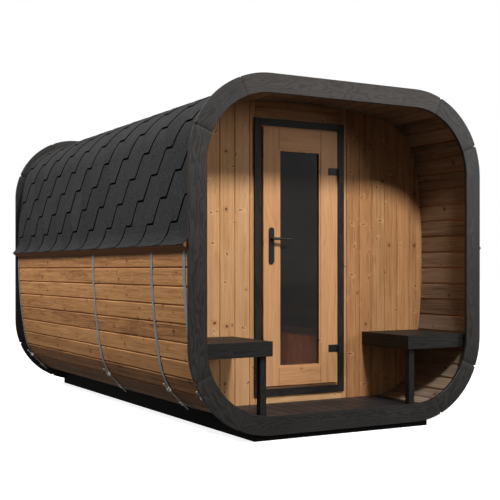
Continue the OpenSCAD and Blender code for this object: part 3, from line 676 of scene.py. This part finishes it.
# -------------------------------- end rings
def ring_boards(name, y0, y1, replaces, seed):
    """Four straight boards and four corner boards, their ends eased where they meet."""
    stock = Stock(seed)
    r1, r0 = RING_R, RING_R - RING_FACE
    middle = r1 - RING_FACE/2
    joint = math.radians(22.5)
    gap, ease = 0.0006/r1, 0.0095/r1
    bevel, notch = 0.0022, 0.014
    corners = {(sx, sz): (sx*RING_CX, RING_Z_HIGH if sz > 0 else RING_Z_LOW)
               for sx in (-1, 1) for sz in (-1, 1)}

    def run(stations, along, across, centre, painted_light=0.25):
        """One board through stations of (corner, angle from the level line), its ends eased."""
        stock.new_board()
        # the board's lightness is set as painted light and shade
        stock.mood = (painted_light, *stock.mood[1:])
        rows = []
        for i, ((cx, cz), angle) in enumerate(stations):
            back, dip = (bevel, notch) if i in (0, len(stations) - 1) else (0.0, 0.0)
            near, far, inner, outer, b = y0 + back, y1 - back, r0 + back, r1 - dip, bevel - back*0.6
            way = Vector((math.copysign(math.cos(angle), cx), 0, math.copysign(math.sin(angle), cz - MID_Z)))
            shape = [(inner + b, near), (outer - b, near), (outer, near + b), (outer, far - b),
                     (outer - b, far), (inner + b, far), (inner, far - b), (inner, near + b)]
            row = [Vector((cx, 0, cz)) + way*r + Vector((0, y, 0)) for r, y in shape]
            rows.append([(p, ((p - centre).dot(along), (p - centre).dot(across), y0 - p.y)) for p in row])
        stock.loft(rows)

    steps = [joint*i/6 for i in range(6)] + [joint - ease, joint - gap]
    level, upright = Vector((1, 0, 0)), Vector((0, 0, 1))
    for sx in (-1, 1):
        up = [(corners[sx, 1], a) for a in steps]
        down = [(corners[sx, -1], a) for a in reversed(steps)]
        run(down + up, upright, level, Vector((sx*(RING_CX + middle), 0, 0)))
    for sz in (-1, 1):
        left, right = corners[-1, sz], corners[1, sz]
        angles = [math.pi/2 - a for a in reversed(steps)]
        stations = [(left, a) for a in angles] + [(right, a) for a in reversed(angles)]
        # the top board is painted paler and the bottom one darker than the rest: painted light and shade, as
        # light falls from above
        run(stations, level, upright, Vector((0, 0, left[1] + sz*middle)), 1.2 if sz > 0 else 0.0)
    for (sx, sz), corner in corners.items():
        span = math.pi/2 - 2*joint
        angles = [joint + ease + (span - 2*ease)*i/12 for i in range(13)]
        angles = [joint + gap] + angles + [math.pi/2 - joint - gap]
        out = Vector((sx, 0, sz)).normalized()
        along = Vector((-sz, 0, sx)).normalized()
        run([(corner, a) for a in angles], along, out, Vector((corner[0], 0, corner[1])) + out*middle)
    stock.build(name, ["stain"], "black_stain", replaces, smooth=35)


# -------------------------------- roof
# exposure and pitch of the shingles, a tab's lower edge, how much each side of it leans, and the place of
# the first course
EXPOSURE = 0.1571
TAB_PITCH = 0.360
DASH = 0.095
FLANK = 0.083
COURSE_Z = 1.3127
COURSE_Y = -1.563
# thickness of a shingle, of its tab and of the whole skin, how far a tab's head sinks, and the bevels at
# its lower edge and front flank, made wide so that their near-black also paints the shadow under the tab
SHEET, TAB_SHEET = 0.0034, 0.0028
SKIN = 0.007
TAB_SINK = 0.0050
BEVEL_S, BEVEL_Y = 0.011, 0.015
# the eave's cut edge, and the flare's width and heights
EAVE_EDGE = 0.004
FLARE_OUT = 0.022
FLARE_LOW, FLARE_HIGH = 0.030, 0.090


def roof_walk():
    """Outer face of the shingles on the right side, from the eave's edge to the middle of the top:
    a list of (girth, point, normal) a centimetre apart."""
    low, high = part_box("roof_skirts")
    marks = [Vector((high.x, 0, low.z + EAVE_EDGE)), Vector((HALF_X + FLARE_OUT, 0, low.z + FLARE_LOW))]
    first, last = side_walk(low.z + FLARE_HIGH), HALF_GIRTH
    count = 240
    for i in range(count + 1):
        p, n = section(first + (last - first)*i/count)
        p += n*SKIN
        marks.append(Vector((-p.x, 0, p.z)))
    smooth, rest = marks[:1], 0.0
    step = 0.01
    for a, b in zip(marks, marks[1:]):
        length = (b - a).length
        place = step - rest
        while place < length:
            smooth.append(a + (b - a)*(place/length))
            place += step
        rest = length - (place - step)
    for _ in range(3):
        inner = [(a + b*2 + c)/4 for a, b, c in zip(smooth, smooth[1:], smooth[2:])]
        smooth = [smooth[0]] + inner + [smooth[-1]]
    walk, girth = [], 0.0
    for i, p in enumerate(smooth):
        if i:
            girth += (p - smooth[i - 1]).length
        t = (smooth[min(i + 1, len(smooth) - 1)] - smooth[max(i - 1, 0)]).normalized()
        walk.append((girth, p, Vector((t.z, 0, -t.x))))
    return walk


WALK = roof_walk()
FIRST_COURSE = next(girth for girth, p, _ in WALK if p.z >= COURSE_Z)


def on_roof(girth, depth, side):
    """Point at a girth from the eave, a depth under the shingles' outer face, on a side."""
    girth = min(max(girth, 0.0), WALK[-1][0])
    i = min(bisect(WALK, girth, key=lambda item: item[0]), len(WALK) - 1) - 1
    (g0, p0, n0), (g1, p1, n1) = WALK[i], WALK[i + 1]
    t = (girth - g0)/(g1 - g0)
    p = p0.lerp(p1, t) - n0.lerp(n1, t).normalized()*depth
    return Vector((side*p.x, 0, p.z))


def roof_tab(stock, side, start, y_mid, top):
    """One tab of a course with its half of the strip above: a closed sheet."""
    stock.new_board()
    lift = stock.rand.uniform(0.0, 0.0007)
    skew = stock.rand.uniform(-0.0015, 0.0015)
    notch = EXPOSURE + 0.006
    reach = 2.25*EXPOSURE
    levels = [notch*i/6 for i in range(7)] + [notch + (reach - notch)*i/7 for i in range(1, 8)]
    if start < 0:
        levels = [-start] + [s for s in levels if start + s > 0.002]
    below = [s for s in levels if start + s < top]
    if not below:
        return
    levels = below if len(below) == len(levels) else below + [top - start]

    def width(s):
        return DASH/2 + FLANK*min(s, notch)/EXPOSURE

    def point(s, y, layer):
        thick = TAB_SHEET if s < notch else SHEET
        depth = TAB_SINK*s/reach - (lift if s < notch else 0) + layer*thick
        # the foot and the front flank are pulled back into wide bevels in the near-black edge material: the
        # cut edge together with painted shadow under the tab
        if layer == 0 and s < notch + 1e-6:
            if abs(y) > width(s) - 1e-6:
                y += BEVEL_Y if y < 0 else -0.002
            s = max(s, levels[0] + (BEVEL_S if start > 0 else 0.002))
        p = on_roof(start + s, depth, side)
        p.y = min(max(y_mid + y + (skew if s < 0.01 else 0), Y_FRONT), Y_BACK)
        return p

    points, index, cols = [], {}, []
    for row, s in enumerate(levels):
        places = [(j, width(s)*t) for j, t in zip(range(1, 6), (-1, -0.5, 0, 0.5, 1))]
        if s >= notch - 1e-6:
            places = [(0, -TAB_PITCH/2)] + places + [(6, TAB_PITCH/2)]
        cols.append([j for j, _ in places])
        for layer in (0, 1):
            for j, y in places:
                index[row, j, layer] = len(points)
                points.append((point(s, y, layer), (s, y, -layer*SHEET)))
    faces, kinds = [], []

    def face(loop, kind):
        faces.append(tuple(loop[::-1] if side < 0 else loop))
        kinds.append(kind)

    rows = len(levels)
    for row in range(rows - 1):
        for j in range(6):
            quad = [(row, j), (row, j + 1), (row + 1, j + 1), (row + 1, j)]
            if all(c in cols[r] for r, c in quad):
                face([index[r, c, 0] for r, c in quad], 0)
                face([index[r, c, 1] for r, c in reversed(quad)], 0)
    # the cut edge, widened at the foot and front flank into bevels that also paint the shadow under the tab:
    # along the foot, up one side, back along the head and down the other side
    n = sum(s <= notch + 1e-6 for s in levels) - 1
    foot = [(0, j) for j in cols[0]]
    up = [(r, 5) for r in range(1, n + 1)] + [(r, 6) for r in range(n, rows) if 6 in cols[r]]
    head = [(rows - 1, j) for j in cols[-1][::-1]]
    down = [(r, 0) for r in range(rows - 2, n - 1, -1)] + [(r, 1) for r in range(n, 0, -1)]
    loop = list(dict.fromkeys(foot + up + head + down))
    for a, b in zip(loop, loop[1:] + loop[:1]):
        face([index[(*a, 1)], index[(*b, 1)], index[(*b, 0)], index[(*a, 0)]], 1)
    stock.add(points, faces, kinds)


def roof_base(stock):
    """Underlay between the staves, the battens and the shingles."""
    stock.new_board()
    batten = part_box("eave_battens")[1]
    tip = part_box("roof_skirts")[0].z + 0.001
    start = FIRST_COURSE + 0.004
    # depth under the shingles' outer face: over the batten, under the first course and above it
    on_batten, on_first, on_rest = 0.0022, 0.0037, 0.0046
    outer, inner = [], []
    for girth, p, n in WALK[::2]:
        low = p.z < batten.z
        q = p - n*(on_batten if low else on_first if girth < start else on_rest)
        if low:
            z = max(q.z, tip)
            face = inner_x(z) + STAVE
            x = face + (batten.x - face)*(batten.z - z)/(batten.z - tip) + 0.0004
            back = Vector((min(x, q.x - 0.0005 - 2*(z - q.z)), 0, z))
        else:
            back = p - n*(SKIN - 0.0004)
            if p.z < batten.z + 0.040:
                back.x = inner_x(p.z) + STAVE + 0.0006
        outer.append(q)
        inner.append(back)
    outer += [Vector((-p.x, 0, p.z)) for p in outer[-2::-1]]
    inner += [Vector((-p.x, 0, p.z)) for p in inner[-2::-1]]
    count = len(outer)
    points = [((p.x, y, p.z), (0, 0, 0)) for y in (Y_FRONT, Y_BACK) for p in outer + inner]
    faces = []
    for a in range(count - 1):
        b, c, d = a + 1, count + a + 1, count + a
        faces += [(a, b, b + 2*count, a + 2*count), (d, c, c + 2*count, d + 2*count)]
        faces += [(a, b, c, d), (a + 2*count, b + 2*count, c + 2*count, d + 2*count)]
    for i in (0, count - 1):
        faces.append((i, i + count, i + 3*count, i + 2*count))
    stock.add(points, faces, [0, 1, 0, 1]*(count - 1) + [1, 1])


def shingles():
    """Underlay, courses of tabs up both sides and ridge pieces over the middle of the top."""
    stock = Stock(37)
    roof_base(stock)
    top = WALK[-1][0]
    for side in (-1, 1):
        for course in range(-1, 12):
            shift = 0.0 if course % 2 == 0 else TAB_PITCH/2
            for i in range(-2, 13):
                y_mid = COURSE_Y + shift + TAB_PITCH*i
                if Y_FRONT - TAB_PITCH/2 < y_mid < Y_BACK + TAB_PITCH/2:
                    roof_tab(stock, side, FIRST_COURSE + EXPOSURE*course, y_mid, top)
    # ridge pieces, each lapping the one behind it
    z = WALK[-1][1].z
    length, lap, half = 0.30, 0.1515, 0.13
    y = Y_FRONT
    while y < Y_BACK - 0.01:
        stock.new_board()
        rows = []
        for end, rise in ((y, 0.0032), (min(y + length, Y_BACK), 0.0004)):
            shape = [(-half, -0.001), (half, -0.001), (half, rise), (0, rise + 0.0006), (-half, rise)]
            rows.append([((x, end, z + up), (end, x, 0)) for x, up in shape])
        stock.loft(rows)
        y += lap
    piece = stock.build("roof_shingles", ["shingle", "edge"], "shingle",
                        ("roof_top", "roof_corners", "roof_skirts"))
    change(piece.data, lambda work: bmesh.ops.dissolve_degenerate(work, dist=1e-5, edges=work.edges))


# -------------------------------- floors, benches and door surround
def scribed(x, z):
    """Place across the cabin, held just inside the staves at a height."""
    reach = inner_x(z) - 0.0005
    return max(-reach, min(reach, x))


def floor_boards(name, node, look, slot, seed, pitch, gap, phase=0.0):
    """Boards along the cabin, the outer ones scribed to the staves."""
    low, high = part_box(node)
    stock = Stock(seed)
    x = -math.ceil((high.x + phase)/pitch)*pitch + phase
    b, narrowest = 0.002, 0.012
    while x < high.x:
        x0, x1 = max(x + gap/2, low.x), min(x + pitch - gap/2, high.x)
        if x1 - x0 > narrowest:
            stock.new_board()
            shape = [(x0, low.z), (x1, low.z), (x1, high.z - b), (x1 - b, high.z), (x0 + b, high.z),
                     (x0, high.z - b)]
            shape = [(scribed(a, z), z) for a, z in shape]
            mid = (x0 + x1)/2
            stock.loft([[((a, y, z), (y, a - mid, z - high.z)) for a, z in shape] for y in (low.y, high.y)])
        x += pitch
    stock.build(name, [look], slot, (node,))


def split_range(low, high, count, gap):
    """Ends of equal boards with gaps between them."""
    size = (high - low - gap*(count - 1))/count
    return [(low + i*(size + gap), low + i*(size + gap) + size) for i in range(count)]


def porch_benches():
    """Two benches, each of five seat boards, two deep edge boards and a leg."""
    low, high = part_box("bench_seats")
    e_low, e_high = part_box("bench_edges")
    l_low, l_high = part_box("bench_legs")
    thick, leg, inner = 0.028, 0.045, 0.520
    seats, edges, legs = Stock(41), Stock(43), Stock(47)
    for side in (-1, 1):
        def put(stock, xa, xb, y0, y1, z0, z1, along, bevel=0.002):
            x0, x1 = sorted((side*xa, side*xb))
            plank(stock, (x0, y0, z0), (x1, y1, z1), along=along, bevel=bevel)

        for y0, y1 in split_range(low.y, high.y, 5, 0.004):
            put(seats, inner + thick, high.x, y0, y1, low.z, high.z, 0)
        put(edges, inner, e_high.x, e_low.y, e_low.y + thick, e_low.z, e_high.z, 0)
        put(edges, inner, inner + thick, e_low.y + thick, e_high.y, e_low.z, e_high.z, 1)
        put(legs, l_high.x - leg, l_high.x, l_low.y, l_high.y, l_low.z, l_high.z, 2, 0.003)
    seats.build("bench_seat_boards", ["paint"], "black_stain", ("bench_seats",))
    edges.build("bench_edge_boards", ["paint"], "black_stain", ("bench_edges",))
    legs.build("bench_leg_posts", ["paint"], "black_stain", ("bench_legs",))


def room_bench():
    """Low bench in the room: seat boards, and upright boards under a top strip."""
    low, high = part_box("room_bench_seat")
    f_low, f_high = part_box("room_bench_front")
    seat, front = Stock(53), Stock(59)
    for x0, x1 in split_range(low.x, high.x, 6, 0.006):
        plank(seat, (x0, low.y, low.z), (x1, high.y, high.z), along=1, bevel=0.004)
    # the seat boards take the room wood with painted shade
    seat.build("room_bench_seat_boards", ["room_painted_shade"], "door_wood", ("room_bench_seat",))
    board, strip, v, slit = 0.02, 0.032, 0.004, 0.0006
    x = f_low.x + board
    plank(front, (f_low.x, f_low.y, f_high.z - strip), (x, f_high.y, f_high.z), along=1, bevel=0.003)
    # the top strip takes the room wood with painted shade too
    front.kinds = [1]*len(front.kinds)
    for y0, y1 in split_range(f_low.y, f_high.y, 26, 0.0):
        front.new_board()
        shape = [(x + v, y0 + slit), (x, y0 + v), (x, y1 - v), (x + v, y1 - slit), (f_high.x, y1 - slit),
                 (f_high.x, y0 + slit)]
        mid = (y0 + y1)/2
        front.loft([[((a, y, z), (z, y - mid, f_low.x - a)) for a, y in shape] for z in (f_low.z, f_high.z)])
    front.build("room_bench_front_boards", ["room", "room_painted_shade"], "door_wood", ("room_bench_front",))


def door_surround():
    """Two posts and two rails round the door."""
    low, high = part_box("surround_posts")
    face, rail = 0.052, 0.048
    stock = Stock(61)
    for side in (-1, 1):
        x0, x1 = sorted((side*(high.x - face), side*high.x))
        plank(stock, (x0, low.y, low.z), (x1, high.y, high.z), along=2, bevel=0.0015, depth=1)
    x = high.x - face
    for z0, z1 in ((low.z, low.z + rail), (high.z - rail, high.z)):
        plank(stock, (-x, low.y, z0), (x, high.y, z1), along=0, bevel=0.0015, depth=1)
    stock.build("door_surround_boards", ["paint"], "black_stain", ("surround_posts", "surround_rails"))


def band_hardware():
    """Threaded rods, cross pins, nuts, washers and the bands' curled ears at the lower corners."""
    low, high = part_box("band_tensioners")
    centre_x, centre_z = high.x - (high.z - low.z)/2, (low.z + high.z)/2
    slope = math.sqrt(0.5)
    pin = Vector((0, 1, 0))
    bands = (RING_LOW.y + 0.105, RING_LOW.y + 0.586, RING_LOW.y + 1.644, BACK_HIGH.y - 0.045)
    # length, radius, sides and eased ends of a turn of the thread, a pin, an ear, a washer and a nut
    thread = (0.004, 0.0051, 10, 0.0009)
    cross = (0.048, 0.0068, 16, 0.0008)
    curl = (0.0085, 0.0110, 20, 0.0008)
    washer = (0.0022, 0.0125, 20, 0.0004)
    nut = (0.0096, 0.0108, 6, 0.0012)
    turns, rod_end, pin_place, ear_place, washer_place, nut_place = 62, 0.122, 0.060, 0.0110, 0.0095, 0.0155
    stock = Stock(83)

    def turned(middle, axis, length, radius, sides, ease):
        """Bar of a round or six-sided section about an axis, its two ends eased."""
        u = Vector((slope, 0, slope)) if axis is pin else pin
        v = axis.cross(u)
        stock.new_board()
        half = length/2
        rows = []
        for along, r in ((-half, radius - ease), (ease - half, radius), (half - ease, radius),
                         (half, radius - ease)):
            angles = (math.tau*k/sides for k in range(sides))
            ring = [(r*math.cos(a), r*math.sin(a)) for a in angles]
            rows.append([(middle + axis*along + u*a + v*b, (along, a, b)) for a, b in ring])
        stock.loft(rows)

    for side in (-1, 1):
        rod = Vector((side*slope, 0, slope))
        for y in bands:
            middle = Vector((side*centre_x, y, centre_z))
            for k in range(turns):
                turned(middle + rod*(thread[0]*k - rod_end), rod, *thread)
            for end in (-1, 1):
                at = middle + rod*(pin_place*end)
                turned(at, pin, *cross)
                for ear in (-1, 1):
                    turned(at + pin*(ear_place*ear), pin, *curl)
                turned(at + rod*(washer_place*end), rod, *washer)
                turned(at + rod*(nut_place*end), rod, *nut)
    # the hardware takes the zinc painted lighter, against the shade at the lower corners
    stock.build("band_hardware", ["bright"], "zinc_steel", ("band_tensioners",), smooth=35)


staves()
end_walls()
ring_boards("front_ring_boards", RING_LOW.y, RING_HIGH.y, ("front_trim_boards", "front_trim_corners"), 67)
ring_boards("back_ring_boards", BACK_LOW.y, BACK_HIGH.y, ("back_trim_boards", "back_trim_corners"), 71)
shingles()
floor_boards("porch_deck_boards", "porch_deck", "deck", "deck_stain", 73, 0.100, 0.005, 0.05)
floor_boards("room_floor_boards", "room_floor", "wall", "wall_wood", 79, 0.1113, 0.0016)
porch_benches()
room_bench()
door_surround()
band_hardware()

# -------------------------------- finishes of the frame's own solids
FINISH = {
    "eave_battens": "batten", "door_jamb_sides": "door_Z", "door_jamb_ends": "door_X",
    "door_stiles": "door_Z", "door_rails": "door_rail", "door_glass": "glass", "glazing_beads": "door_Z",
    "handle_plates": "powder", "lever_handle": "satin", "hinge_straps": "powder", "hinge_posts": "powder",
    "floor_joists": "stain_X", "steel_bands": "zinc", "base_beams": "base", "base_crossbeams": "base",
}
for node, key in FINISH.items():
    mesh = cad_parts[node].data
    mesh.materials.clear()
    mesh.materials.append(MATS[key])

# -------------------------------- floor, light and camera
WHITE = (1.0, 1.0, 1.0, 1)
DARK = (0.03, 0.03, 0.03, 1)


def studio_floor():
    """Floor that is white to the camera, keeps the cabin's shadow and throws little light back."""
    floor = bpy.data.meshes.new("studio_floor")
    reach, level = 60.0, -0.002
    corners = [(x*reach, y*reach, level) for x, y in ((-1, -1), (1, -1), (1, 1), (-1, 1))]
    floor.from_pydata(corners, [], [(0, 1, 2, 3)])
    studio = new_object("studio_floor", floor)
    s = Shader("studio floor", 0.9, Specular_IOR_Level=0.0)
    path = s.node("LightPath").outputs
    seen = s.math("MAXIMUM", path["Is Camera Ray"], path["Is Transmission Ray"])
    away = s.vmath("LENGTH", s.place())
    glow = s.span(away, 3.0, 6.5, 0.88, 1.0)
    glow = s.scale_add(seen, glow, s.product(path["Is Glossy Ray"], 0.22))
    s.put(s.bsdf.inputs["Emission Color"], WHITE)
    s.put(s.bsdf.inputs["Emission Strength"], glow)
    floor.materials.append(s.finish(s.mix(seen, DARK, WHITE)))


def studio_world():
    """Background that is white to the camera; its light grows with height and towards the front."""
    world = bpy.data.worlds.new("studio")
    bpy.context.scene.world = world
    world.use_nodes = True
    w = Nodes(world.node_tree)
    shade = w.tree.nodes["Background"]
    way = w.node("TexCoord").outputs["Generated"]
    path = w.node("LightPath").outputs
    up = w.span(w.split(way)[2], -0.1, 1.0, 0.03, 0.10, "LINEAR")
    front = w.span(w.vmath("DOT_PRODUCT", way, (0.5, -0.85, 0.0)), -1.0, 1.0, 0.3, 1.9, "LINEAR")
    w.put(shade.inputs["Color"], WHITE)
    w.put(shade.inputs["Strength"],
          w.scale_add(path["Is Glossy Ray"], 0.33, w.product(up, front)))
    white = w.node("Background", {"Color": WHITE, "Strength": 1.0})
    seen = w.math("MAXIMUM", path["Is Camera Ray"], path["Is Transmission Ray"])
    blend = w.node("MixShader", {0: seen, 1: shade.outputs[0], 2: white.outputs[0]})
    w.put(w.tree.nodes["World Output"].inputs["Surface"], blend.outputs[0])


def area_lamp(name, place, aim, size, power, colour=(1, 1, 1)):
    data = bpy.data.lights.new(name, "AREA")
    data.shape = "DISK"
    data.size = size
    data.energy = power
    data.color = colour
    lamp = new_object(name, data)
    lamp.location = place
    lamp.rotation_euler = (Vector(aim) - Vector(place)).to_track_quat("-Z", "Y").to_euler()
    return lamp


studio_floor()
studio_world()
area_lamp("key_lamp", (0.0, -5.85, 5.75), (0.2, -1.4, 1.3), 1.0, 325)
area_lamp("fill_lamp", (4.6, -5.9, 2.6), (0.0, -1.3, 1.1), 2.2, 90)
area_lamp("side_lamp", (-6.2, 1.7, 7.8), (-1.0, 0.7, 1.1), 2.6, 715)
room = area_lamp("room_lamp", (-0.50, -0.62, 0.50), (0.43, -0.48, 0.36), 0.25, 3.2, (1.0, 0.68, 0.46))
room.data.spread = math.radians(70)

view = bpy.data.cameras.new("camera")
camera = new_object("camera", view)
camera.location = (-3.5538, -6.9019, 1.0374)
camera.rotation_euler = (math.pi/2, 0, -0.5095)
view.sensor_width = 36
view.lens = 70.287
view.shift_x = 0.00025
view.shift_y = 0.03968
view.clip_end = 300
bpy.context.scene.camera = camera
bpy.context.scene.view_settings.view_transform = "Standard"
